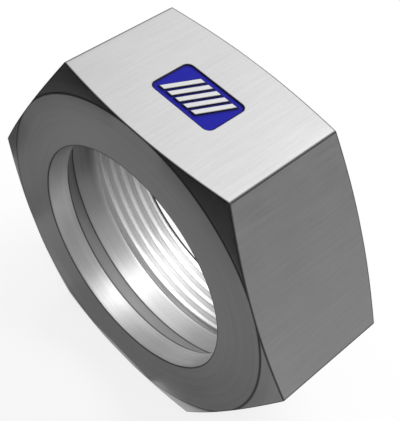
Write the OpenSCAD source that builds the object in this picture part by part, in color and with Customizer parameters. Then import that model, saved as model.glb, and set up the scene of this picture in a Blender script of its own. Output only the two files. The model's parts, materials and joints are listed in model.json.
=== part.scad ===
// Union nut for a compression tube fitting, turned from one piece of hexagon bar.
// The axis runs along Y, from the tube side at Y = 0 to the thread side, and the
// nut lies on one flat, with the marked flat on top. All sizes are in millimetres.

/* [Hexagon] */
// Width across the flats, the spanner size
across_flats = 60; // [56:1:80]
// Length along the axis, from end face to end face
nut_length = 24; // [18:1:40]
// Angle between an end face and the chamfer that takes off its corners
chamfer_angle = 15; // [10:1:30]
// Reach of the flat ring on an end face past the middle of the flats
ring_reach = 0.05; // [0.05:0.05:1]

/* [Tube side] */
// Bore that the tube passes through
tube_bore_d = 42.2; // [40:0.1:46]
// Length of the tube bore, from the end face to the seat
tube_bore_length = 4.5; // [2:0.5:8]
// Angle between the axis and the conical seat that presses on the ring
seat_angle = 45; // [30:1:60]

/* [Thread side] */
// Bore at the crests of the thread
thread_bore_d = 50.2; // [48:0.1:52]
// Depth of the countersink at the thread's mouth
mouth_depth = 0.9; // [0.5:0.1:2]
// Angle between the axis and the countersink
mouth_angle = 45; // [30:1:60]

/* [Mark field] */
// Length of the sunk field, across the top flat
field_length = 12.6; // [8:0.2:20]
// Width of the sunk field, along the axis
field_width = 8; // [6:0.2:12]
// Radius of its four corners
field_corner_r = 1.2; // [0.4:0.1:2]
// Depth of its floor below the flat
field_depth = 0.4; // [0.2:0.1:1]
// Width of the rim of floor around the bars
field_rim = 1.1; // [0.5:0.1:2]
// Width of each slanting bar that stands in the field
bar_width = 1; // [0.5:0.1:1.5]
// Distance from one bar to the next
bar_pitch = 1.65; // [1.6:0.05:3]
// Angle between the bars and the axis
bar_slant = 25; // [0:5:40]

/* [Hidden] */
$fn = 96;
CUT = 1; // reach of a cutting tool past the face that it enters

flat_r = across_flats / 2;
corner_r = flat_r / cos(30);
ring_r = flat_r + ring_reach;
blank_r = corner_r + CUT;
blank_drop = (blank_r - ring_r) * tan(chamfer_angle);

tube_r = tube_bore_d / 2;
thread_r = thread_bore_d / 2;
seat_end = tube_bore_length + (thread_r - tube_r) / tan(seat_angle);
mouth_start = nut_length - mouth_depth;
mouth_cut_r = thread_r + (mouth_depth + CUT) * tan(mouth_angle);

bar_rise = field_width - 2 * field_rim;
bar_lean = bar_rise * tan(bar_slant);
bar_room = field_length - 2 * field_rim - bar_width - bar_lean;
bar_count = floor(bar_room / bar_pitch) + 1;

// Six-sided bar along Z, with a corner on +X.
module hexagon_bar() {
    cylinder(h = nut_length, r = corner_r, $fn = 6);
}

// Outline that the lathe leaves: a disc with a shallow cone at either end.
module turned_envelope() {
    rotate_extrude()
        polygon([
            [0, 0],
            [ring_r, 0],
            [blank_r, blank_drop],
            [blank_r, nut_length - blank_drop],
            [ring_r, nut_length],
            [0, nut_length]
        ]);
}

// Everything bored out: tube bore, conical seat, thread bore and countersink.
module bored_out() {
    rotate_extrude()
        polygon([
            [0, -CUT],
            [tube_r, -CUT],
            [tube_r, tube_bore_length],
            [thread_r, seat_end],
            [thread_r, mouth_start],
            [mouth_cut_r, nut_length + CUT],
            [0, nut_length + CUT]
        ]);
}

// Rectangle about the origin with round corners.
module round_cornered(size_x, size_y, corner) {
    square([size_x - 2 * corner, size_y], center = true);
    square([size_x, size_y - 2 * corner], center = true);
    for (side = [-1, 1], end = [-1, 1])
        translate([side * (size_x / 2 - corner), end * (size_y / 2 - corner)])
            circle(r = corner);
}

// Slanting bars side by side about the origin, as many as the field has room for.
module bars() {
    for (i = [0:bar_count - 1])
        translate([(i - (bar_count - 1) / 2) * bar_pitch, 0])
            polygon([
                [-bar_lean / 2 - bar_width / 2, -bar_rise / 2],
                [-bar_lean / 2 + bar_width / 2, -bar_rise / 2],
                [bar_lean / 2 + bar_width / 2, bar_rise / 2],
                [bar_lean / 2 - bar_width / 2, bar_rise / 2]
            ]);
}

// What is cut from the top flat, with the bars left standing level with it.
module mark_field() {
    translate([0, nut_length / 2, flat_r - field_depth])
        difference() {
            linear_extrude(field_depth + CUT)
                round_cornered(field_length, field_width, field_corner_r);
            translate([0, 0, -CUT])
                linear_extrude(field_depth + 3 * CUT)
                    bars();
        }
}

module union_nut() {
    difference() {
        color("silver")
            rotate([-90, 0, 0])
                difference() {
                    intersection() {
                        hexagon_bar();
                        turned_envelope();
                    }
                    bored_out();
                }
        color("mediumblue")
            mark_field();
    }
}

union_nut();
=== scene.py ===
import json
from math import cos, pi, radians, sin, tan

import bpy
import numpy as np
from bpy.props import FloatProperty, FloatVectorProperty, IntProperty, PointerProperty
from mathutils import Euler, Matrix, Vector


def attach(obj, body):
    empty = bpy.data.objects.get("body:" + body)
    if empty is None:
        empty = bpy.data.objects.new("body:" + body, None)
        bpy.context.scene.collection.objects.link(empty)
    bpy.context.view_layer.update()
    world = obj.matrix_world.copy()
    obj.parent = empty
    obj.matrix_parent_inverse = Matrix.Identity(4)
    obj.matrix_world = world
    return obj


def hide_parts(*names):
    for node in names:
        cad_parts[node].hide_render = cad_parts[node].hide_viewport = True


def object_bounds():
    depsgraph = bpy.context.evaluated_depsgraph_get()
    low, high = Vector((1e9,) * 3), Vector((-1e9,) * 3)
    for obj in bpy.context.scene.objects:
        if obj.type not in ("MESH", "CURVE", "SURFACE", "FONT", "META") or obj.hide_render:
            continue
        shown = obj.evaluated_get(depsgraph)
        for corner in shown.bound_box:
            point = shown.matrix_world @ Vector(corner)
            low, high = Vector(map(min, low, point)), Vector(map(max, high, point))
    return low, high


bl_info = {
    "name": "Union nut",
    "version": (1, 0, 0),
    "blender": (4, 5, 0),
    "location": "3D View > Sidebar > Union nut",
    "description": "A turned hexagon nut with a cut thread and a sunk painted field",
    "category": "Object",
}

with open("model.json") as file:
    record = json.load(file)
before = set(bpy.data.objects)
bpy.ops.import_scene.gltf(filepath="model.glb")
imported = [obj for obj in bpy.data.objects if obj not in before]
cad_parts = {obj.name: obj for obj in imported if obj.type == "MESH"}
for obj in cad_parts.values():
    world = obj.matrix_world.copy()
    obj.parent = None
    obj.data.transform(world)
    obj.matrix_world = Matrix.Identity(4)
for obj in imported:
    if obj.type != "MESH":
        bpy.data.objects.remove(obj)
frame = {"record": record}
CAD_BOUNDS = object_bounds()

MM = 0.001
NODE = "union_nut"
NUT = "machined_nut"
PAINT = "field_paint"
MOUNTS = {mount["name"]: mount for mount in frame["record"]["mounts"]}

# How finely the mesh is divided. The hexagon has six sectors, each from the middle of one
# corner to the middle of the next, and the circles have as many steps as all six together.
CORNER_STEPS = 4
FLAT_STEPS = 40
STEPS_ROUND = 6 * (2 * CORNER_STEPS + FLAT_STEPS)
STEPS_PER_PITCH = 16
FIELD_CORNER_STEPS = 8
BLUR_SAMPLES = 9
WELD = 0.001 * MM

# A sector of the hexagon, and the shape of a metric thread: the angle of its flanks to the
# radius, and the width of its root as a share of the pitch
SECTOR = radians(60)
FLANK_ANGLE = radians(30)
ROOT_SHARE = 1 / 8

# Angles past which an edge is shaded as a sharp one
NUT_SHARP = radians(35)
PAINT_SHARP = radians(50)


def mount_size(name, key):
    """A size of one of the part's mounts, in metres."""
    return MOUNTS[name]["dims"][key] * MM


def mount_end(name, side):
    """Where a mount's wall ends along Y, on the -1 or the +1 side."""
    return MOUNTS[name]["pos_m"][1] + side * mount_size(name, "length_mm") / 2


def number(name, description, default, **kind):
    """A setting that is one number."""
    return FloatProperty(name=name, description=description, default=default, **kind)


def length(name, description, default):
    """A length in metres."""
    return number(name, description, default, subtype="DISTANCE", unit="LENGTH", precision=5)


def angle(name, description, default):
    """An angle, with its default in degrees."""
    return number(name, description, radians(default), subtype="ANGLE", unit="ROTATION")


def share(name, description, default):
    """A share from 0 to 1."""
    return number(name, description, default, subtype="FACTOR", min=0, max=1)


def strength(name, description, default):
    """A brightness from 0 up."""
    return number(name, description, default, min=0)


def colour(name, description, default):
    """A colour in linear light."""
    return FloatVectorProperty(
        name=name, description=description, default=default, subtype="COLOR", size=3, min=0, max=1)


class NutSizes(bpy.types.PropertyGroup):
    """Hexagon, bores and edges."""
    flat_r: length("Flat distance", "From the axis to each flat", CAD_BOUNDS[1].z)
    nut_length: length("Length", "From end face to end face", CAD_BOUNDS[1].y)
    chamfer: angle("Chamfer", "Between an end face and the cone that takes off the corners", 15)
    ring_r: length("Ring radius", "Where the cone starts on an end face", CAD_BOUNDS[1].z + 0.05 * MM)
    corner_round: length("Corner rounding", "Radius along the six long edges", 0.2 * MM)
    edge_break: length("Edge break", "Half the width over which a sharp edge is rounded", 0.1 * MM)
    tube_r: length("Tube bore radius", "Bore on the tube side", mount_size("tube_bore", "r_mm"))
    land: length("Tube bore length", "From the end face to the seat", mount_size("tube_bore", "length_mm"))
    seat_end: length("Seat end", "Where the conical seat meets the thread bore", mount_end("thread", -1))


class ThreadSizes(bpy.types.PropertyGroup):
    """The right-hand internal thread."""
    crest_r: length("Crest radius", "Bore at the crests", mount_size("thread", "r_mm"))
    groove_r: length("Groove radius", "Half the thread's nominal diameter", 26 * MM)
    pitch: length("Pitch", "From one turn to the next", 2 * MM)
    start: length("Start", "Where the grooves run out in the bore", 12.2 * MM)
    run_out: length("Run-out", "Length over which the grooves grow to full depth", 2.6 * MM)
    mouth_start: length("Countersink start", "Where the countersink cuts in", mount_end("thread", 1))
    mouth_slope: number("Countersink slope", "Rise over run of the countersink", 1)


class FieldSizes(bpy.types.PropertyGroup):
    """The sunk field on the top flat, and the bars that stand in it."""
    size_x: length("Length", "Across the flat", 12.6 * MM)
    size_y: length("Width", "Along the axis", 8 * MM)
    corner_r: length("Corner radius", "Radius of the four corners", 1.2 * MM)
    depth: length("Depth", "Of the floor below the flat", 0.4 * MM)
    rim: length("Rim", "Floor left round the bars", 1.1 * MM)
    bar_width: length("Bar width", "Of each slanting bar", 1 * MM)
    bar_pitch: length("Bar distance", "From one bar to the next", 1.65 * MM)
    bar_count: IntProperty(name="Bars", description="Number of bars", default=5, min=1)
    bar_slant: angle("Bar slant", "Between the bars and the axis", 25)
    lip: length("Lip", "Width of the bevel round the field and the bars", 0.06 * MM)
    paint: length("Paint thickness", "Over the floor", 0.1 * MM)
    creep: length("Paint creep", "Height to which the paint climbs at a wall", 0.14 * MM)


class Finish(bpy.types.PropertyGroup):
    """Colours and gloss."""
    flats: colour("Flats", "Drawn and plated flats", (0.3, 0.3, 0.3))
    bars: colour("Bars", "Heads of the bars in the sunk field, rubbed bright", (0.33, 0.33, 0.33))
    turned: colour("Turned faces", "End faces and chamfers", (0.3, 0.3, 0.3))
    bored: colour("Bores", "Seat and plain bore", (0.34, 0.34, 0.34))
    # Painted light: the thread gets a lighter copy of the bores' steel, which stands in for light that the
    # thread does not get
    cut: colour("Thread", "Flanks and crests of the thread", (0.65, 0.65, 0.65))
    # Painted light in the tube bore: the share of the thread's lighter tone that it gets
    painted_land_light: share("Tube bore", "How far the tube bore's tone goes from the seat's to the thread's", 0.5)
    paint: colour("Paint", "Enamel in the sunk field", (0.009, 0.009, 0.3))
    # Painted shade: the enamel on the walls of the sunk field is darkened as if in their shadow
    wall_shade: share("Wall shade", "How much darker the enamel is where it stands on the walls", 0.9)
    flats_dull: share("Flats, roughness", "Of the drawn and plated flats", 0.4)
    turned_dull: share("Turned faces, roughness", "Of the end faces and chamfers", 0.35)
    bored_dull: share("Bores, roughness", "Of the bored and threaded surfaces", 0.4)
    paint_dull: share("Paint, roughness", "Of the enamel", 0.45)
    grain_width: length("Grain width", "Of the drawn lines on the flats", 0.5 * MM)
    grain_length: length("Grain length", "Of the drawn lines on the flats", 12 * MM)
    turned_rings: length("Ring spacing, faces", "Of the turning marks on the end faces", 0.5 * MM)
    bored_rings: length("Ring spacing, bores", "Of the turning marks in the bores", 0.4 * MM)
    # Painted shade: a dark band along the nut's edges and the crease at the seat, darkest right on an edge
    edge_width: length("Edge width", "Of the darker band of plating along the edges", 0.3 * MM)
    edge_shade: share("Edge shade", "How much darker the plating is right on an edge", 0.8)


class Stage(bpy.types.PropertyGroup):
    """Camera and light."""
    camera_place: FloatVectorProperty(
        name="Camera place", description="Where the camera stands",
        default=(61.61 * MM, -59.24 * MM, 116.74 * MM), subtype="XYZ", unit="LENGTH")
    camera_turn: FloatVectorProperty(
        name="Camera turn", description="Angles of the camera about X, Y and Z",
        default=(radians(37.630), radians(-4.805), radians(47.330)), subtype="EULER", unit="ROTATION")
    lens: number("Lens", "Focal length in millimetres on a 36 mm frame", 74.75)
    shift_x: number("Shift X", "Sideways shift, in frame heights", 0.059)
    shift_y: number("Shift Y", "Upward shift, in frame heights", 0.07)
    floor: colour("Floor", "Floor under the nut", (0.9, 0.9, 0.9))
    key: strength("Key lamp", "Brightness of the softbox above and behind the nut", 1.5)
    rear: strength("Rear lamp", "Brightness of the small softbox that lights the bore from behind", 5.6)
    fill: strength("Fill", "Light from all round", 0.6)
    white: share("Paper white", "Share of the floor that looks plain white from the camera", 0.8)


SETTINGS = {
    "nut_sizes": NutSizes,
    "thread_sizes": ThreadSizes,
    "field_sizes": FieldSizes,
    "nut_finish": Finish,
    "nut_stage": Stage,
}

# Matt cards round the nut that only its metal sees, which put painted darker reflections into it: tone,
# and corners in mm
CARDS = {
    "front_card": (0.02, [(-400, -400, -29), (120, -400, -29), (120, -54, -29), (-400, -54, -29)]),
    "far_card": (0.02, [(-400, -400, -29), (120, -400, -29), (120, -400, 200), (-400, -400, 200)]),
    "side_card": (0.02, [(-400, -400, -29), (-400, 100, -29), (-400, 100, 200), (-400, -400, 200)]),
    "left_card": (0.13, [(-400, -54, -29), (-76, -54, -29), (-76, -28, -29), (-56, -28, -29),
                         (-56, 100, -29), (-400, 100, -29)]),
    "near_card": (0.65, [(-76, -54, -29), (44, -54, -29), (44, -8, -29), (30, -1, -29), (-36, -1, -29),
                         (-36, 100, -29), (-56, 100, -29), (-56, -28, -29), (-76, -28, -29)]),
    "patch_card": (0.35, [(-56, -26, -28), (-35, -26, -28), (-35, -1, -28), (-56, -1, -28)]),
    "foot_card": (0.85, [(-24, -4, -28.9), (16, -4, -28.9), (7, 0.8, -28.9), (-24, 0.8, -28.9)]),
    "behind_card": (0.07, [(-40, 26, -29), (80, 26, -29), (80, 140, -29), (-40, 140, -29)]),
    "right_card": (0.2, [(300, 0, -29), (300, 600, -29), (300, 600, 60), (300, 0, 60)]),
}


# Node helpers

def add(tree, kind, inputs=None, **settings):
    """A new node. Its inputs are values, outputs to join, or nodes whose first output is joined."""
    node = tree.nodes.new(kind)
    for name, value in settings.items():
        setattr(node, name, value)
    for name, value in (inputs or {}).items():
        if isinstance(value, bpy.types.Node):
            value = value.outputs[0]
        if isinstance(value, bpy.types.NodeSocket):
            tree.links.new(value, node.inputs[name])
        else:
            node.inputs[name].default_value = value
    return node


def maths(tree, operation, *values):
    """The result of one sum on numbers or outputs."""
    return add(tree, "ShaderNodeMath", dict(enumerate(values)), operation=operation).outputs[0]


def smooth_step(tree, value, low, high, first=0, last=1):
    """Goes from first to last while the value goes from low to high, without a kink."""
    return add(tree, "ShaderNodeMapRange", {
        "Value": value, "From Min": low, "From Max": high, "To Min": first, "To Max": last},
        interpolation_type="SMOOTHSTEP").outputs[0]


def scaled(tree, vector, factor):
    """A vector or colour times a number."""
    return add(tree, "ShaderNodeVectorMath", {0: vector, "Scale": factor}, operation="SCALE").outputs[0]


def new_tree(name, kind, inputs, outputs):
    """An empty node tree with named inputs and outputs, and its two end nodes."""
    tree = bpy.data.node_groups.new(name, kind)
    for way, sockets in (("INPUT", inputs), ("OUTPUT", outputs)):
        for socket, socket_type in sockets.items():
            tree.interface.new_socket(name=socket, in_out=way, socket_type="NodeSocket" + socket_type)
    return tree, add(tree, "NodeGroupInput").outputs, add(tree, "NodeGroupOutput").inputs


def run_tree(piece, tree, values):
    """Runs a tree on the piece with these inputs, and keeps what comes out as its plain mesh."""
    modifier = piece.modifiers.new(tree.name, "NODES")
    modifier.node_group = tree
    for socket in tree.interface.items_tree:
        if socket.name in values:
            modifier[socket.identifier] = values[socket.name]
    evaluated = piece.evaluated_get(bpy.context.evaluated_depsgraph_get())
    mesh = bpy.data.meshes.new_from_object(evaluated)
    piece.modifiers.remove(modifier)
    piece.data = mesh


def new_piece(name, points, faces):
    """An object at the origin with that mesh."""
    mesh = bpy.data.meshes.new(name)
    mesh.from_pydata([tuple(point) for point in points], [], faces)
    piece = bpy.data.objects.new(name, mesh)
    bpy.context.scene.collection.objects.link(piece)
    return piece


# The nut's body

# Where rows lie about a rounded edge, about a crease in the bore and about the circle where a
# chamfer starts on an end face, counted in half widths of the rounding
EDGE_ROWS = (-5, -1.4, -1, -0.6, -0.2, 0.2, 0.6, 1, 1.4, 5)
CREASE_ROWS = (-1.2, -0.6, 0, 0.6, 1.2)
RING_ROWS = (-0.8, 0.8)


def hexagon_outline(sizes):
    """Points round the hexagon as complex numbers x + z i, from the middle of the +X corner."""
    centre = (sizes.flat_r - sizes.corner_round) / cos(SECTOR / 2)
    turns = SECTOR / 2 * np.arange(CORNER_STEPS + 1) / CORNER_STEPS
    leaving = centre + sizes.corner_round * np.exp(1j * turns)
    next_corner = np.exp(1j * SECTOR)
    arriving = leaving[::-1].conj() * next_corner
    shares = np.arange(1, FLAT_STEPS) / FLAT_STEPS
    along = leaving[-1] + (arriving[0] - leaving[-1]) * shares
    sector = np.concatenate([leaving, along, arriving[:-1]])
    return np.concatenate([sector * next_corner ** k for k in range(6)])


def corner_marks(corners):
    """How far along its column's path each corner lies."""
    steps = np.linalg.norm(np.diff(corners, axis=0), axis=2)
    return np.vstack([np.zeros(steps.shape[1]), np.cumsum(steps, axis=0)])


def rounded_rows(corners, rows, half_width):
    """Points (radius, y) along each column's path, with its corners rounded off.

    corners has a radius and a y for each corner and column, and rows a distance along the
    path for each row and column. A point is the mean of the path over the half width to
    either side, which leaves flat stretches as they are.
    """
    marks = corner_marks(corners)
    shifts = np.linspace(-half_width, half_width, BLUR_SAMPLES)
    points = np.empty(rows.shape + (2,))
    for column in range(rows.shape[1]):
        places = rows[:, column, None] + shifts
        for axis in (0, 1):
            path = corners[:, column, axis]
            points[:, column, axis] = np.interp(places, marks[:, column], path).mean(axis=1)
    points[0], points[-1] = corners[0], corners[-1]
    return points


def rows_along(corners, at_corner, half_width):
    """Row distances: both ends, and a cluster at each inner corner, in order along each column."""
    marks = corner_marks(corners)
    clusters = [
        marks[k] + half_width * offset for k, offsets in at_corner.items() for offset in offsets]
    return np.sort(np.vstack([marks[:1], clusters, marks[-1:]]), axis=0)


def body_points(sizes, thread):
    """Every row of the body: up the bore to the tube side, over the outside, to the thread's mouth."""
    outline = hexagon_outline(sizes)
    reach = np.abs(outline)
    ring = np.minimum(reach, sizes.ring_r)
    drop = (reach - ring) * tan(sizes.chamfer)
    same = np.ones(STEPS_ROUND)
    inner_face = (sizes.tube_r + sizes.ring_r) / 2 - sizes.edge_break
    outer_face = inner_face + 2 * sizes.edge_break
    end = sizes.nut_length

    def path(*corners):
        return np.array([np.stack([radius * same, y * same], axis=1) for radius, y in corners])

    inside = path(
        (thread.crest_r, thread.start), (thread.crest_r, sizes.seat_end), (sizes.tube_r, sizes.land),
        (sizes.tube_r, 0), (inner_face, 0))
    outside = path(
        (outer_face, 0), (ring, 0), (reach, drop), (reach, end - drop), (ring, end), (outer_face, end))
    inside_rows = rows_along(
        inside, {1: CREASE_ROWS, 2: EDGE_ROWS, 3: EDGE_ROWS}, sizes.edge_break)
    outside_rows = rows_along(
        outside, {1: RING_ROWS, 2: EDGE_ROWS, 3: EDGE_ROWS, 4: RING_ROWS}, sizes.edge_break)
    circle = np.exp(2j * pi * np.arange(STEPS_ROUND) / STEPS_ROUND)
    mouth_r = thread.crest_r + (end - thread.mouth_start) * thread.mouth_slope
    rows = [(circle, row) for row in rounded_rows(inside, inside_rows, sizes.edge_break)]
    rows += [(outline / reach, row) for row in rounded_rows(outside, outside_rows, sizes.edge_break)]
    rows += [(circle, path((mouth_r, end))[0])]
    turned = [(heading * row[:, 0], row[:, 1]) for heading, row in rows]
    return np.array([np.stack([flat.real, y, flat.imag], axis=1) for flat, y in turned])


def band_faces(row_count):
    """Quads between neighbouring rows, all the way round."""
    faces = []
    for row in range(row_count - 1):
        for column in range(STEPS_ROUND):
            here, there = row * STEPS_ROUND + column, row * STEPS_ROUND + (column + 1) % STEPS_ROUND
            faces.append((here, here + STEPS_ROUND, there + STEPS_ROUND, there))
    return faces


class NUT_OT_body(bpy.types.Operator):
    """Turn the body: hexagon, chamfers, end faces and the plain bores"""
    bl_idname = "union_nut.body"
    bl_label = "Turn the body"

    def execute(self, context):
        points = body_points(context.scene.nut_sizes, context.scene.thread_sizes)
        new_piece(NUT, points.reshape(-1, 3), band_faces(len(points)))
        return {"FINISHED"}


# The thread

def thread_tree():
    """A helical thread that closes a nut's open bore.

    A grid is wrapped round the axis. Its rows climb one pitch a turn, so that they lie
    along the grooves, and are held back at the start and the end of the thread.
    """
    tree, given, result = new_tree("Helical thread", "GeometryNodeTree", {
        "Geometry": "Geometry", "Crest radius": "Float", "Groove radius": "Float", "Pitch": "Float",
        "Start": "Float", "End": "Float", "Run-out": "Float", "Mouth start": "Float",
        "Mouth slope": "Float", "Steps round": "Int", "Steps per pitch": "Int", "Material": "Material",
    }, {"Geometry": "Geometry"})
    crest, groove, pitch = given["Crest radius"], given["Groove radius"], given["Pitch"]
    start, end = given["Start"], given["End"]

    # One pitch more than the thread is long, because the rows climb by that
    room = maths(tree, "DIVIDE", maths(tree, "SUBTRACT", end, start), pitch)
    pitches = maths(tree, "ADD", maths(tree, "CEIL", room), 1)
    columns = maths(tree, "ADD", given["Steps round"], 1)
    rows = maths(tree, "MULTIPLY_ADD", pitches, given["Steps per pitch"], 1)
    grid = add(tree, "GeometryNodeMeshGrid", {
        "Size X": 1, "Size Y": 1, "Vertices X": columns, "Vertices Y": rows})
    place = add(tree, "ShaderNodeSeparateXYZ", {0: add(tree, "GeometryNodeInputPosition")})
    around = maths(tree, "ADD", place.outputs["X"], 0.5)
    along = maths(tree, "MULTIPLY", maths(tree, "ADD", place.outputs["Y"], 0.5), pitches)
    climb = maths(tree, "SUBTRACT", maths(tree, "ADD", along, around), 1)
    free_y = maths(tree, "MULTIPLY_ADD", climb, pitch, start)
    y = add(tree, "ShaderNodeClamp", {"Value": free_y, "Min": start, "Max": end}).outputs[0]

    # A groove has a narrow flat root with a flank on either side, and flank is its width
    depth = maths(tree, "SUBTRACT", groove, crest)
    flank = maths(tree, "MULTIPLY", depth, tan(FLANK_ANGLE))
    phase = maths(tree, "ABSOLUTE", maths(tree, "SUBTRACT", maths(tree, "FRACT", along), 0.5))
    from_root = maths(tree, "SUBTRACT", maths(tree, "MULTIPLY", phase, pitch),
                      maths(tree, "MULTIPLY", pitch, ROOT_SHARE / 2))
    rise = maths(tree, "DIVIDE", maths(tree, "SUBTRACT", flank, from_root), flank)
    rise = add(tree, "ShaderNodeClamp", {"Value": rise}).outputs[0]
    grown = smooth_step(tree, y, start, maths(tree, "ADD", start, given["Run-out"]))
    cut = maths(tree, "MULTIPLY_ADD", maths(tree, "MULTIPLY", depth, rise), grown, crest)
    into_mouth = maths(tree, "MAXIMUM", maths(tree, "SUBTRACT", y, given["Mouth start"]), 0)
    mouth = maths(tree, "MULTIPLY_ADD", into_mouth, given["Mouth slope"], crest)
    radius = maths(tree, "MAXIMUM", cut, mouth)

    # Turning from +X to -Z while it moves along +Y makes the thread right-handed
    turn = maths(tree, "MULTIPLY", around, -2 * pi)
    wrapped = add(tree, "ShaderNodeCombineXYZ", {
        "X": maths(tree, "MULTIPLY", radius, maths(tree, "COSINE", turn)),
        "Y": y,
        "Z": maths(tree, "MULTIPLY", radius, maths(tree, "SINE", turn))})
    strip = add(tree, "GeometryNodeSetPosition", {"Geometry": grid, "Position": wrapped})
    to_axis = add(tree, "GeometryNodeFlipFaces", {"Mesh": strip})
    joined = add(tree, "GeometryNodeJoinGeometry")
    tree.links.new(to_axis.outputs[0], joined.inputs[0])
    tree.links.new(given["Geometry"], joined.inputs[0])
    closed = add(tree, "GeometryNodeMergeByDistance", {"Geometry": joined, "Distance": WELD})
    real = add(tree, "GeometryNodeRealizeInstances", {"Geometry": closed})
    coated = add(tree, "GeometryNodeSetMaterial", {"Geometry": real, "Material": given["Material"]})
    tree.links.new(coated.outputs[0], result[0])
    return tree


class NUT_OT_thread(bpy.types.Operator):
    """Cut the right-hand thread between the plain bore and the countersunk mouth"""
    bl_idname = "union_nut.thread"
    bl_label = "Cut the thread"

    def execute(self, context):
        thread = context.scene.thread_sizes
        run_tree(bpy.data.objects[NUT], thread_tree(), {
            "Crest radius": thread.crest_r, "Groove radius": thread.groove_r, "Pitch": thread.pitch,
            "Start": thread.start, "End": context.scene.nut_sizes.nut_length,
            "Run-out": thread.run_out, "Mouth start": thread.mouth_start,
            "Mouth slope": thread.mouth_slope, "Steps round": STEPS_ROUND,
            "Steps per pitch": STEPS_PER_PITCH, "Material": bpy.data.materials["bored_surfaces"]})
        return {"FINISHED"}


# The sunk field

def round_rectangle(size_x, size_y, corner_r):
    """Outline with round corners, anticlockwise seen from above."""
    turn = np.exp(0.5j * pi * np.arange(FIELD_CORNER_STEPS + 1) / FIELD_CORNER_STEPS)
    inner = (size_x / 2 - corner_r) + 1j * (size_y / 2 - corner_r)
    centres = [inner, -inner.conjugate(), -inner, inner.conjugate()]
    return np.concatenate([centre + corner_r * turn * 1j ** k for k, centre in enumerate(centres)])


def field_outline(field, grow):
    """The sunk field's outline, grown outwards by that much."""
    return round_rectangle(field.size_x + 2 * grow, field.size_y + 2 * grow, field.corner_r + grow)


def bar_outline(field, grow):
    """The outline of a bar about the origin, grown outwards by that much."""
    half_x = field.bar_width / 2 + grow / cos(field.bar_slant)
    half_y = field.size_y / 2 - field.rim + grow
    lean = half_y * tan(field.bar_slant)
    return np.array([
        -half_x - lean - 1j * half_y, half_x - lean - 1j * half_y,
        half_x + lean + 1j * half_y, -half_x + lean + 1j * half_y])


def lofted(name, outlines, heights):
    """A closed solid through outlines at rising heights."""
    count = len(outlines[0])
    points = [(p.real, p.imag, z) for outline, z in zip(outlines, heights) for p in outline]
    faces = [tuple(range(count))[::-1], tuple(range(len(points) - count, len(points)))]
    for level in range(len(outlines) - 1):
        for k in range(count):
            here, there = level * count + k, level * count + (k + 1) % count
            faces.append((here, there, there + count, here + count))
    return new_piece(name, points, faces)


def field_tree():
    """Cuts a sunk field with a row of standing bars out of a solid."""
    tree, given, result = new_tree("Sunk field", "GeometryNodeTree", {
        "Geometry": "Geometry", "Cutter": "Object", "Bar": "Object", "Bars": "Int",
        "Bar distance": "Float", "Place": "Vector", "Material": "Material",
    }, {"Geometry": "Geometry"})
    cutter = add(tree, "GeometryNodeObjectInfo", {"Object": given["Cutter"]})
    bar = add(tree, "GeometryNodeObjectInfo", {"Object": given["Bar"]})
    gaps = maths(tree, "SUBTRACT", given["Bars"], 1)
    first = maths(tree, "MULTIPLY", maths(tree, "MULTIPLY", gaps, given["Bar distance"]), -0.5)
    line = add(tree, "GeometryNodeMeshLine", {
        "Count": given["Bars"],
        "Start Location": add(tree, "ShaderNodeCombineXYZ", {"X": first}),
        "Offset": add(tree, "ShaderNodeCombineXYZ", {"X": given["Bar distance"]})})
    row = add(tree, "GeometryNodeInstanceOnPoints", {
        "Points": line, "Instance": bar.outputs["Geometry"]})
    bars = add(tree, "GeometryNodeRealizeInstances", {"Geometry": row})
    tool = add(tree, "GeometryNodeMeshBoolean", {
        "Mesh 1": cutter.outputs["Geometry"], "Mesh 2": bars},
        operation="DIFFERENCE", solver="EXACT")
    placed = add(tree, "GeometryNodeTransform", {"Geometry": tool, "Translation": given["Place"]})
    cut = add(tree, "GeometryNodeMeshBoolean", {"Mesh 1": given["Geometry"], "Mesh 2": placed},
              operation="DIFFERENCE", solver="EXACT")
    real = add(tree, "GeometryNodeRealizeInstances", {"Geometry": cut})
    coated = add(tree, "GeometryNodeSetMaterial", {"Geometry": real, "Material": given["Material"]})
    tree.links.new(coated.outputs[0], result[0])
    return tree


class NUT_OT_field(bpy.types.Operator):
    """Sink the field with its standing bars into the top flat, and give each surface its finish"""
    bl_idname = "union_nut.field"
    bl_label = "Sink the field"

    def execute(self, context):
        sizes, field = context.scene.nut_sizes, context.scene.field_sizes
        # Both tools reach past the flat
        above = 1 * MM
        growths = (0, 0, field.lip, field.lip)
        cutter = lofted("field_cutter", [field_outline(field, growth) for growth in growths],
                        [-field.depth, -field.lip, 0, above])
        bar = lofted("field_bar", [bar_outline(field, -growth) for growth in growths],
                     [-field.depth - above, -field.lip, 0, 2 * above])
        nut = bpy.data.objects[NUT]
        run_tree(nut, field_tree(), {
            "Cutter": cutter, "Bar": bar, "Bars": field.bar_count, "Bar distance": field.bar_pitch,
            "Place": (0, sizes.nut_length / 2, sizes.flat_r),
            "Material": bpy.data.materials["drawn_flats"]})
        for helper in (cutter, bar):
            bpy.data.objects.remove(helper)
        give_finishes(context, nut)
        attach(nut, "root")
        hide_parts(NODE)
        return {"FINISHED"}


# How far a face's normal leans along the axis: a turned face more than the first, and a
# bored one less than the second
TURNED_LEAN = 0.6
BORED_LEAN = 0.9


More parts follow.
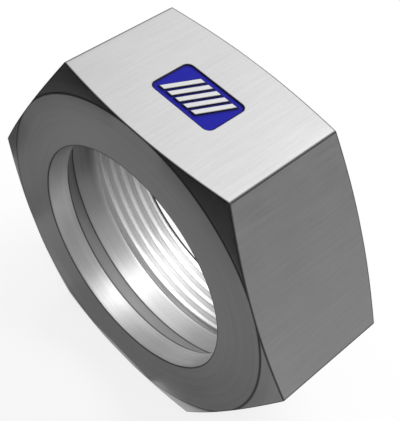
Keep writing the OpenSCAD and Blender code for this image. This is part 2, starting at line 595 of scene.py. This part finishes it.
def give_finishes(context, nut):
    """Gives each face the finish of the surface that it belongs to."""
    sizes, thread, field = (
        context.scene.nut_sizes, context.scene.thread_sizes, context.scene.field_sizes)
    mesh = nut.data
    count = len(mesh.polygons)
    centre, normal = np.empty(3 * count), np.empty(3 * count)
    mesh.polygons.foreach_get("center", centre)
    mesh.polygons.foreach_get("normal", normal)
    x, y, z = centre.reshape(-1, 3).T
    facing = normal.reshape(-1, 3)
    radius = np.hypot(x, z)
    inwards = facing[:, 0] * x + facing[:, 2] * z < 0
    lean = abs(facing[:, 1])
    sunk = (z < sizes.flat_r - field.lip) & (z > sizes.flat_r - field.depth - field.lip)
    sunk &= (abs(x) < field.size_x) & (abs(y - sizes.nut_length / 2) < field.size_y)
    regions = {
        "drawn_flats": np.ones(count, bool),
        "turned_faces": lean > TURNED_LEAN,
        "bored_surfaces": inwards & (radius < thread.groove_r + sizes.edge_break) & (lean < BORED_LEAN),
        "blue_enamel": sunk,
    }
    chosen = np.zeros(count, int)
    mesh.materials.clear()
    for finish, region in regions.items():
        chosen[region] = len(mesh.materials)
        mesh.materials.append(bpy.data.materials[finish])
    mesh.polygons.foreach_set("material_index", chosen)
    mesh.polygons.foreach_set("use_smooth", np.ones(count, bool))
    mesh.set_sharp_from_angle(angle=NUT_SHARP)


# The paint

# Size of a cell of its mesh, how far it goes down into the floor, and the distance from a
# wall over which its creep dies away
PAINT_CELL = 0.12 * MM
PAINT_ROOT = 0.05 * MM
CREEP_REACH = 1.5 * PAINT_CELL


def bar_distance(field, x, y):
    """Distance from each point to the nearest bar's sides, negative inside a bar."""
    nearest = np.full(x.shape, np.inf)
    half_y = field.size_y / 2 - field.rim
    for k in range(field.bar_count):
        middle = (k - (field.bar_count - 1) / 2) * field.bar_pitch + y * tan(field.bar_slant)
        aside = (abs(x - middle) - field.bar_width / 2) * cos(field.bar_slant)
        beyond = abs(y) - half_y
        outside = np.hypot(np.maximum(aside, 0), np.maximum(beyond, 0))
        nearest = np.minimum(nearest, outside + np.minimum(np.maximum(aside, beyond), 0))
    return nearest


def wall_distance(field, x, y):
    """Distance from each point to the field's outer wall, negative outside it."""
    aside = abs(x) - (field.size_x / 2 - field.corner_r)
    beyond = abs(y) - (field.size_y / 2 - field.corner_r)
    outside = np.hypot(np.maximum(aside, 0), np.maximum(beyond, 0))
    return field.corner_r - outside - np.minimum(np.maximum(aside, beyond), 0)


def slab_faces(wide, deep):
    """Faces of a closed slab: a grid of points on top, the same below, and a wall round both."""
    count = wide * deep
    faces = []
    for k in (row * wide + column for row in range(deep - 1) for column in range(wide - 1)):
        faces.append((k, k + 1, k + wide + 1, k + wide))
        faces.append((count + k, count + k + wide, count + k + wide + 1, count + k + 1))
    rim = list(range(wide)) + [row * wide - 1 for row in range(2, deep + 1)]
    rim += [count - 1 - column for column in range(1, wide)]
    rim += [row * wide for row in range(deep - 2, 0, -1)]
    for here, there in zip(rim, rim[1:] + rim[:1]):
        faces.append((here, count + here, count + there, there))
    return faces


class NUT_OT_paint(bpy.types.Operator):
    """Fill the floor of the field with enamel that creeps up a little at the walls"""
    bl_idname = "union_nut.paint"
    bl_label = "Paint the field"

    def execute(self, context):
        sizes, field = context.scene.nut_sizes, context.scene.field_sizes
        half_x, half_y = field.size_x / 2 + PAINT_CELL, field.size_y / 2 + PAINT_CELL
        xs = np.linspace(-half_x, half_x, round(2 * half_x / PAINT_CELL) + 1)
        ys = np.linspace(-half_y, half_y, round(2 * half_y / PAINT_CELL) + 1)
        x, y = (grid.ravel() for grid in np.meshgrid(xs, ys))
        gap = np.maximum(np.minimum(bar_distance(field, x, y), wall_distance(field, x, y)), 0)
        creep = field.creep * np.exp(-gap / CREEP_REACH)
        floor = sizes.flat_r - field.depth
        top = np.stack([x, y + sizes.nut_length / 2, floor + field.paint + creep], axis=1)
        bottom = top.copy()
        bottom[:, 2] = floor - PAINT_ROOT
        faces = slab_faces(len(xs), len(ys))
        paint = new_piece(PAINT, np.vstack([top, bottom]), faces)
        paint.data.materials.append(bpy.data.materials["blue_enamel"])
        paint.data.polygons.foreach_set("use_smooth", np.ones(len(faces), bool))
        paint.data.set_sharp_from_angle(angle=PAINT_SHARP)
        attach(paint, "root")
        return {"FINISHED"}


# Finishes

# Depth of the relief of each kind of marks, and how far they shift the tone
GRAIN_RELIEF = (0.012 * MM, 0.25)
FACE_RELIEF = (0.015 * MM, 0.35)
BORE_RELIEF = (0.01 * MM, 0.4)
PEEL_DEPTH = 0.01 * MM

# How far the rings of a turned surface wander on their way round
RING_DRIFT = 0.6

# Sizes of the patches and the speckle, and the speckle's share of the two
STEEL_CLOUD = {"Patch": 7 * MM, "Speckle": 0.5 * MM}
PAINT_CLOUD = {"Patch": 2.5 * MM, "Speckle": 0.4 * MM}
SPECKLE_SHARE = 0.4

# How far the patches shift tone and roughness, and how far marks and edges shift roughness
STEEL_TONES = 0.2
STEEL_DULLS = 0.12
PAINT_TONES = 0.3
PAINT_DULLS = 0.2
MARK_DULLS = 0.08
EDGE_DULLS = 0.05

# The share of an edge's band of painted shade that is darkest, and how much the enamel shines
EDGE_CORE = 0.3
PAINT_SPECULAR = 0.06


def new_group(name, inputs, outputs):
    """An empty shader group, all of whose inputs and outputs are plain numbers."""
    return new_tree(
        name, "ShaderNodeTree", dict.fromkeys(inputs, "Float"), dict.fromkeys(outputs, "Float"))


def put_group(tree, group, inputs=None):
    """The outputs of a shared group that is placed in a tree."""
    return add(tree, "ShaderNodeGroup", inputs, node_tree=group).outputs


def polar_group():
    """Distance from the nut's axis, and the heading round it as a unit vector."""
    tree, _, result = new_group(
        "About the axis", (), ("Radius", "X", "Y", "Z", "Round X", "Round Z"))
    place = add(tree, "ShaderNodeTexCoord").outputs["Object"]
    x, y, z = add(tree, "ShaderNodeSeparateXYZ", {0: place}).outputs
    squares = maths(tree, "ADD", maths(tree, "MULTIPLY", x, x), maths(tree, "MULTIPLY", z, z))
    radius = maths(tree, "SQRT", squares)
    round_x, round_z = maths(tree, "DIVIDE", x, radius), maths(tree, "DIVIDE", z, radius)
    for socket, value in zip(result, (radius, x, y, z, round_x, round_z)):
        tree.links.new(value, socket)
    return tree


def noise(tree, vector, detail, roughness=0.5):
    """Smooth noise, with one hill or dip to about each unit of the vector."""
    return add(tree, "ShaderNodeTexNoise", {
        "Vector": vector, "Scale": 1, "Detail": detail, "Roughness": roughness}).outputs["Fac"]


def turning_group(polar):
    """Rings that a turning tool leaves. They follow the radius on a face and Y in a bore."""
    tree, given, result = new_group("Turning marks", ("Spacing", "Drift"), ("Height",))
    about = put_group(tree, polar)
    feed = maths(tree, "DIVIDE", maths(tree, "ADD", about["Radius"], about["Y"]), given["Spacing"])
    ring = add(tree, "ShaderNodeCombineXYZ", {
        "X": maths(tree, "MULTIPLY", about["Round X"], given["Drift"]), "Y": feed,
        "Z": maths(tree, "MULTIPLY", about["Round Z"], given["Drift"])})
    tree.links.new(noise(tree, ring, detail=3, roughness=0.6), result["Height"])
    return tree


def grain_group(polar):
    """Fine lines along Y, as drawing through a die leaves them on a bar."""
    tree, given, result = new_group("Drawn grain", ("Width", "Length"), ("Height",))
    about = put_group(tree, polar)
    line = add(tree, "ShaderNodeCombineXYZ", {
        "X": maths(tree, "DIVIDE", about["X"], given["Width"]),
        "Y": maths(tree, "DIVIDE", about["Y"], given["Length"]),
        "Z": maths(tree, "DIVIDE", about["Z"], given["Width"])})
    tree.links.new(noise(tree, line, detail=3, roughness=0.6), result["Height"])
    return tree


def cloud_group():
    """Soft patches in the plating's tone, with fine speckle in them."""
    tree, given, result = new_group("Plating cloud", ("Patch", "Speckle"), ("Shade",))
    place = add(tree, "ShaderNodeTexCoord").outputs["Object"]

    def layer(size, detail):
        return noise(tree, scaled(tree, place, maths(tree, "DIVIDE", 1, size)), detail)

    patches = maths(tree, "MULTIPLY", layer(given["Patch"], 3), 1 - SPECKLE_SHARE)
    both = maths(tree, "MULTIPLY_ADD", layer(given["Speckle"], 1), SPECKLE_SHARE, patches)
    tree.links.new(both, result["Shade"])
    return tree


def edge_group(polar):
    """How near the nearest edge is: 1 close to it, and 0 from the given width on. It places the painted
    shade along the edges.

    The flats and the turned ends each bound the nut. On the surface one of their distances
    is nil, and the next smallest is the distance to the nearest outer edge. The rings on the
    end faces and the edges in the bore are circles.
    """
    tree, given, result = new_group("Edges", (
        "Flat distance", "Nut length", "Ring radius", "Chamfer slope", "Tube bore", "Land",
        "Thread bore", "Seat end", "Thread mouth", "Width"), ("Mask",))
    about = put_group(tree, polar)
    side = maths(tree, "MULTIPLY", about["X"], cos(SECTOR / 2))
    rise = maths(tree, "MULTIPLY", about["Z"], sin(SECTOR / 2))
    reaches = [maths(tree, "ABSOLUTE", value) for value in (
        about["Z"], maths(tree, "ADD", side, rise), maths(tree, "SUBTRACT", side, rise))]
    low = maths(tree, "MINIMUM", reaches[0], reaches[1])
    high = maths(tree, "MAXIMUM", reaches[0], reaches[1])
    furthest = maths(tree, "MAXIMUM", high, reaches[2])
    next_one = maths(tree, "MAXIMUM", low, maths(tree, "MINIMUM", high, reaches[2]))
    flat = maths(tree, "SUBTRACT", given["Flat distance"], furthest)
    next_flat = maths(tree, "SUBTRACT", given["Flat distance"], next_one)
    past_ring = maths(tree, "MAXIMUM", maths(tree, "SUBTRACT", about["Radius"], given["Ring radius"]), 0)
    drop = maths(tree, "MULTIPLY", past_ring, given["Chamfer slope"])
    from_far_end = maths(tree, "SUBTRACT", given["Nut length"], about["Y"])
    from_end = maths(tree, "MINIMUM", about["Y"], from_far_end)
    end = maths(tree, "SUBTRACT", from_end, drop)
    nearer = maths(tree, "MINIMUM", flat, end)
    further = maths(tree, "MAXIMUM", flat, end)
    distance = maths(tree, "MAXIMUM", nearer, maths(tree, "MINIMUM", further, next_flat))
    circles = ((given["Ring radius"], 0), (given["Ring radius"], given["Nut length"]),
               (given["Tube bore"], 0), (given["Tube bore"], given["Land"]),
               (given["Thread bore"], given["Seat end"]), (given["Thread mouth"], given["Nut length"]))
    for radius, y in circles:
        across = maths(tree, "ABSOLUTE", maths(tree, "SUBTRACT", about["Radius"], radius))
        along = maths(tree, "ABSOLUTE", maths(tree, "SUBTRACT", about["Y"], y))
        distance = maths(tree, "MINIMUM", distance, maths(tree, "MAXIMUM", across, along))
    core = maths(tree, "MULTIPLY", given["Width"], EDGE_CORE)
    tree.links.new(smooth_step(tree, distance, core, given["Width"], 1, 0), result["Mask"])
    return tree


def painted_light_group(polar):
    """Where painted light goes in the bores: a share in the tube bore, and from 0 to 1 along the thread's
    run-out.
    """
    tree, given, result = new_group("Bright cuts", ("Land", "Painted land light", "Start", "Run-out"), ("Mask",))
    y = put_group(tree, polar)["Y"]
    in_thread = smooth_step(tree, maths(tree, "SUBTRACT", y, given["Start"]), 0, given["Run-out"])
    in_land = maths(tree, "MULTIPLY", maths(tree, "LESS_THAN", y, given["Land"]), given["Painted land light"])
    tree.links.new(maths(tree, "MAXIMUM", in_thread, in_land), result["Mask"])
    return tree


def heads_group(polar):
    """1 on the heads of the bars that stand in the field on top, and 0 elsewhere."""
    tree, given, result = new_group("Bar heads", ("Middle", "Half length", "Half width"), ("Mask",))
    about = put_group(tree, polar)
    across = maths(tree, "COMPARE", about["X"], 0, given["Half length"])
    along = maths(tree, "COMPARE", about["Y"], given["Middle"], given["Half width"])
    within = maths(tree, "MULTIPLY", across, along)
    on_top = maths(tree, "GREATER_THAN", about["Z"], 0)
    tree.links.new(maths(tree, "MULTIPLY", within, on_top), result["Mask"])
    return tree


def climb_group(polar):
    """How far up a wall a point is: 0 at the wall's foot and below, and 1 from its head on. It places the
    painted shade on the field's walls.
    """
    tree, given, result = new_group("Climb", ("Foot", "Head"), ("Mask",))
    height = put_group(tree, polar)["Z"]
    tree.links.new(smooth_step(tree, height, given["Foot"], given["Head"]), result["Mask"])
    return tree


def new_material(name):
    """A material, its tree and its Principled shader."""
    material = bpy.data.materials.new(name)
    material.use_nodes = True
    return material, material.node_tree, material.node_tree.nodes["Principled BSDF"]


def join_finish(tree, shader, tone, dull, height, depth):
    """Joins the tone, the roughness and a relief of that depth to a material's shader."""
    bump = add(tree, "ShaderNodeBump", {"Strength": 1, "Distance": depth, "Height": height})
    tree.links.new(tone, shader.inputs["Base Color"])
    tree.links.new(dull, shader.inputs["Roughness"])
    tree.links.new(bump.outputs["Normal"], shader.inputs["Normal"])


def steel(name, tint, roughness, marks, relief, cloud, edges, edge_shade, second=None):
    """Plated steel. marks and edges are groups with their inputs, for the relief and for the painted shade
    along the edges.

    relief is the marks' depth and how far they shift the tone. second is a tint that takes
    over in part, the group whose mask says where, and its inputs.
    """
    depth, streaks = relief
    _, tree, shader = new_material(name)
    if second:
        # The Mix node has sockets of the same name for each type, so these go by number
        second_tint, where, sizes = second
        tint = add(tree, "ShaderNodeMix", {
            0: put_group(tree, where, sizes)["Mask"], 6: (*tint, 1), 7: (*second_tint, 1)},
            data_type="RGBA").outputs[2]
    shader.inputs["Metallic"].default_value = 1
    shade = put_group(tree, cloud, STEEL_CLOUD)["Shade"]
    mask = put_group(tree, *edges)["Mask"]
    height = put_group(tree, *marks)["Height"]

    # Patches and marks shift the tone either way, and painted shade darkens it along the edges
    lift = maths(tree, "MULTIPLY_ADD", shade, STEEL_TONES, 1 - (STEEL_TONES + streaks) / 2)
    lift = maths(tree, "MULTIPLY_ADD", height, streaks, lift)
    lift = maths(tree, "MULTIPLY", lift, maths(tree, "MULTIPLY_ADD", mask, -edge_shade, 1))

    # They shift the roughness too, and the edges are duller
    middle = roughness - (STEEL_DULLS + MARK_DULLS) / 2
    dull = maths(tree, "MULTIPLY_ADD", shade, STEEL_DULLS, middle)
    dull = maths(tree, "MULTIPLY_ADD", height, MARK_DULLS, dull)
    dull = maths(tree, "MULTIPLY_ADD", mask, EDGE_DULLS, dull)
    join_finish(tree, shader, scaled(tree, tint, lift), dull, height, depth)


def enamel(name, tint, roughness, cloud, climb, wall_shade):
    """Enamel, a little uneven in tone and gloss, with a faint orange peel.

    climb is a group with its inputs, and says how far up the walls the enamel stands; there wall_shade
    darkens its tone as painted shade.
    """
    _, tree, shader = new_material(name)
    shader.inputs["Specular IOR Level"].default_value = PAINT_SPECULAR
    shade = put_group(tree, cloud, PAINT_CLOUD)["Shade"]
    mask = put_group(tree, *climb)["Mask"]
    lift = maths(tree, "MULTIPLY_ADD", shade, PAINT_TONES, 1 - PAINT_TONES / 2)
    # Painted shade: the enamel is darker where it stands on the walls
    lift = maths(tree, "MULTIPLY", lift, maths(tree, "MULTIPLY_ADD", mask, -wall_shade, 1))
    dull = maths(tree, "MULTIPLY_ADD", shade, PAINT_DULLS, roughness - PAINT_DULLS / 2)
    join_finish(tree, shader, scaled(tree, tint, lift), dull, shade, PEEL_DEPTH)


def matt(name, tint):
    """Plain matt card or paper, for the stage."""
    material, _, shader = new_material(name)
    shader.inputs["Base Color"].default_value = (*tint, 1)
    shader.inputs["Roughness"].default_value = 1
    shader.inputs["Specular IOR Level"].default_value = 0
    return material


class NUT_OT_finishes(bpy.types.Operator):
    """Mix the finishes: drawn flats, turned faces, bores and enamel"""
    bl_idname = "union_nut.finishes"
    bl_label = "Mix the finishes"

    def execute(self, context):
        finish, sizes = context.scene.nut_finish, context.scene.nut_sizes
        thread, field = context.scene.thread_sizes, context.scene.field_sizes
        polar = polar_group()
        cloud = cloud_group()
        edges = (edge_group(polar), {
            "Flat distance": sizes.flat_r, "Nut length": sizes.nut_length, "Ring radius": sizes.ring_r,
            "Chamfer slope": tan(sizes.chamfer), "Tube bore": sizes.tube_r, "Land": sizes.land,
            "Thread bore": thread.crest_r, "Seat end": sizes.seat_end,
            "Thread mouth": thread.groove_r, "Width": finish.edge_width})
        painted_light_inputs = {"Land": sizes.land, "Painted land light": finish.painted_land_light,
                       "Start": thread.start, "Run-out": thread.run_out}
        grain = (grain_group(polar), {"Width": finish.grain_width, "Length": finish.grain_length})
        turning = turning_group(polar)
        face_rings = (turning, {"Spacing": finish.turned_rings, "Drift": RING_DRIFT})
        bore_rings = (turning, {"Spacing": finish.bored_rings, "Drift": RING_DRIFT})
        bar_heads = {"Middle": sizes.nut_length / 2, "Half length": (field.size_x - field.rim) / 2,
                     "Half width": (field.size_y - field.rim) / 2}
        steel("drawn_flats", finish.flats, finish.flats_dull, grain, GRAIN_RELIEF,
              cloud, edges, finish.edge_shade, (finish.bars, heads_group(polar), bar_heads))
        steel("turned_faces", finish.turned, finish.turned_dull, face_rings, FACE_RELIEF,
              cloud, edges, finish.edge_shade)
        # Painted light: the bores' steel turns lighter in the thread and in part of the tube bore
        steel("bored_surfaces", finish.bored, finish.bored_dull, bore_rings, BORE_RELIEF,
              cloud, edges, finish.edge_shade, (finish.cut, painted_light_group(polar), painted_light_inputs))
        level = sizes.flat_r - field.depth + field.paint
        climb = (climb_group(polar), {"Foot": level, "Head": level + field.creep / 2})
        enamel("blue_enamel", finish.paint, finish.paint_dull, cloud, climb, finish.wall_shade)
        return {"FINISHED"}


# The stage

# In metres: half the floor's width, the distances from the origin at which it starts to turn
# all white and is so, and the lamps' distance. A lamp has a heading and a width.
FLOOR_HALF = 4
FADE_START = 0.15
FADE_END = 0.8
LAMP_DISTANCE = 0.5
KEY_LAMP = ((-0.25, 0.57, 0.78), 0.5)
REAR_LAMP = ((0.1, 0.6, 0.79), 0.22)

# Width of the frame that the lens is for
FRAME_MM = 36


def seen(tree):
    """1 for rays from the camera and for those that metal or glass sends on, and 0 for others."""
    rays = add(tree, "ShaderNodeLightPath").outputs
    sent_on = maths(tree, "MAXIMUM", rays["Is Glossy Ray"], rays["Is Transmission Ray"])
    return maths(tree, "MAXIMUM", rays["Is Camera Ray"], sent_on)


def set_floor(context):
    """A pale floor with the nut's shadow, that fades to the world's white far from the nut."""
    half, z = FLOOR_HALF, CAD_BOUNDS[0].z
    corners = [(-half, -half, z), (half, -half, z), (half, half, z), (-half, half, z)]
    floor = new_piece("floor", corners, [(0, 1, 2, 3)])
    material = matt("pale_floor", context.scene.nut_stage.floor)
    tree = material.node_tree
    place = add(tree, "ShaderNodeTexCoord").outputs["Object"]
    distance = add(tree, "ShaderNodeVectorMath", {0: place}, operation="LENGTH").outputs["Value"]
    share_white = smooth_step(tree, distance, FADE_START, FADE_END, context.scene.nut_stage.white)
    white = add(tree, "ShaderNodeEmission", {"Strength": 1})
    mixed = add(tree, "ShaderNodeMixShader", {
        0: maths(tree, "MULTIPLY", seen(tree), share_white),
        1: tree.nodes["Principled BSDF"], 2: white})
    tree.links.new(mixed.outputs[0], tree.nodes["Material Output"].inputs["Surface"])
    floor.data.materials.append(material)


def set_world(context):
    """Plain white to look at, and the fill light for everything that it lights."""
    world = bpy.data.worlds.new("studio")
    context.scene.world = world
    world.use_nodes = True
    tree = world.node_tree
    fill = context.scene.nut_stage.fill
    level = add(tree, "ShaderNodeMix", {"Factor": seen(tree), "A": fill, "B": 1}, data_type="FLOAT")
    tree.links.new(level.outputs[0], tree.nodes["Background"].inputs["Strength"])
    tree.nodes["Background"].inputs["Color"].default_value = (1, 1, 1, 1)


def add_softbox(name, heading, size, brightness):
    """A square lamp that looks at the nut's middle from that direction."""
    lamp = bpy.data.lights.new(name, "AREA")
    lamp.size = size
    lamp.energy = brightness * pi * size ** 2
    softbox = bpy.data.objects.new(name, lamp)
    bpy.context.scene.collection.objects.link(softbox)
    middle = (CAD_BOUNDS[0] + CAD_BOUNDS[1]) / 2
    away = Vector(heading).normalized()
    softbox.location = middle + away * LAMP_DISTANCE
    softbox.rotation_euler = away.to_track_quat("Z", "Y").to_euler()


def add_card(name, corners, tint):
    """A matt card that only shows in the metal, as a painted reflection."""
    points = [[c * MM for c in corner] for corner in corners]
    card = new_piece(name, points, [tuple(range(len(points)))])
    card.data.materials.append(matt(name, (tint, tint, tint)))
    card.visible_camera = False
    card.visible_diffuse = False
    card.visible_shadow = False


class NUT_OT_stage(bpy.types.Operator):
    """Set up the floor, the lamps and the camera"""
    bl_idname = "union_nut.stage"
    bl_label = "Set the stage"

    def execute(self, context):
        stage = context.scene.nut_stage
        context.scene.view_settings.view_transform = "Standard"
        set_floor(context)
        set_world(context)
        add_softbox("key_softbox", *KEY_LAMP, stage.key)
        add_softbox("rear_softbox", *REAR_LAMP, stage.rear)
        for name, (tint, corners) in CARDS.items():
            add_card(name, corners, tint)
        camera = bpy.data.objects.new("camera", bpy.data.cameras.new("camera"))
        context.scene.collection.objects.link(camera)
        camera.location = stage.camera_place
        camera.rotation_euler = Euler(stage.camera_turn)
        camera.data.lens = stage.lens
        camera.data.sensor_width = FRAME_MM
        camera.data.shift_x = stage.shift_x
        camera.data.shift_y = stage.shift_y
        camera.data.clip_start = 1 * MM
        context.scene.camera = camera
        return {"FINISHED"}


class NUT_PT_panel(bpy.types.Panel):
    """Sizes, finishes and steps of the union nut"""
    bl_idname = "NUT_PT_panel"
    bl_label = "Union nut"
    bl_space_type = "VIEW_3D"
    bl_region_type = "UI"
    bl_category = "Union nut"

    def draw(self, context):
        for name, group in SETTINGS.items():
            box = self.layout.box()
            box.label(text=group.__doc__)
            for size in group.__annotations__:
                box.prop(getattr(context.scene, name), size)
        for operator in OPERATORS:
            self.layout.operator(operator.bl_idname)


OPERATORS = (NUT_OT_finishes, NUT_OT_body, NUT_OT_thread, NUT_OT_field, NUT_OT_paint, NUT_OT_stage)


def register():
    for group in SETTINGS.values():
        bpy.utils.register_class(group)
    for name, group in SETTINGS.items():
        setattr(bpy.types.Scene, name, PointerProperty(type=group))
    for cls in (*OPERATORS, NUT_PT_panel):
        bpy.utils.register_class(cls)


def unregister():
    for cls in (NUT_PT_panel, *reversed(OPERATORS)):
        bpy.utils.unregister_class(cls)
    for name, group in SETTINGS.items():
        delattr(bpy.types.Scene, name)
        bpy.utils.unregister_class(group)


def main():
    """Builds the nut and its stage."""
    register()
    bpy.ops.union_nut.finishes()
    bpy.ops.union_nut.body()
    bpy.ops.union_nut.thread()
    bpy.ops.union_nut.field()
    bpy.ops.union_nut.paint()
    bpy.ops.union_nut.stage()


if __name__ == "__main__":
    main()
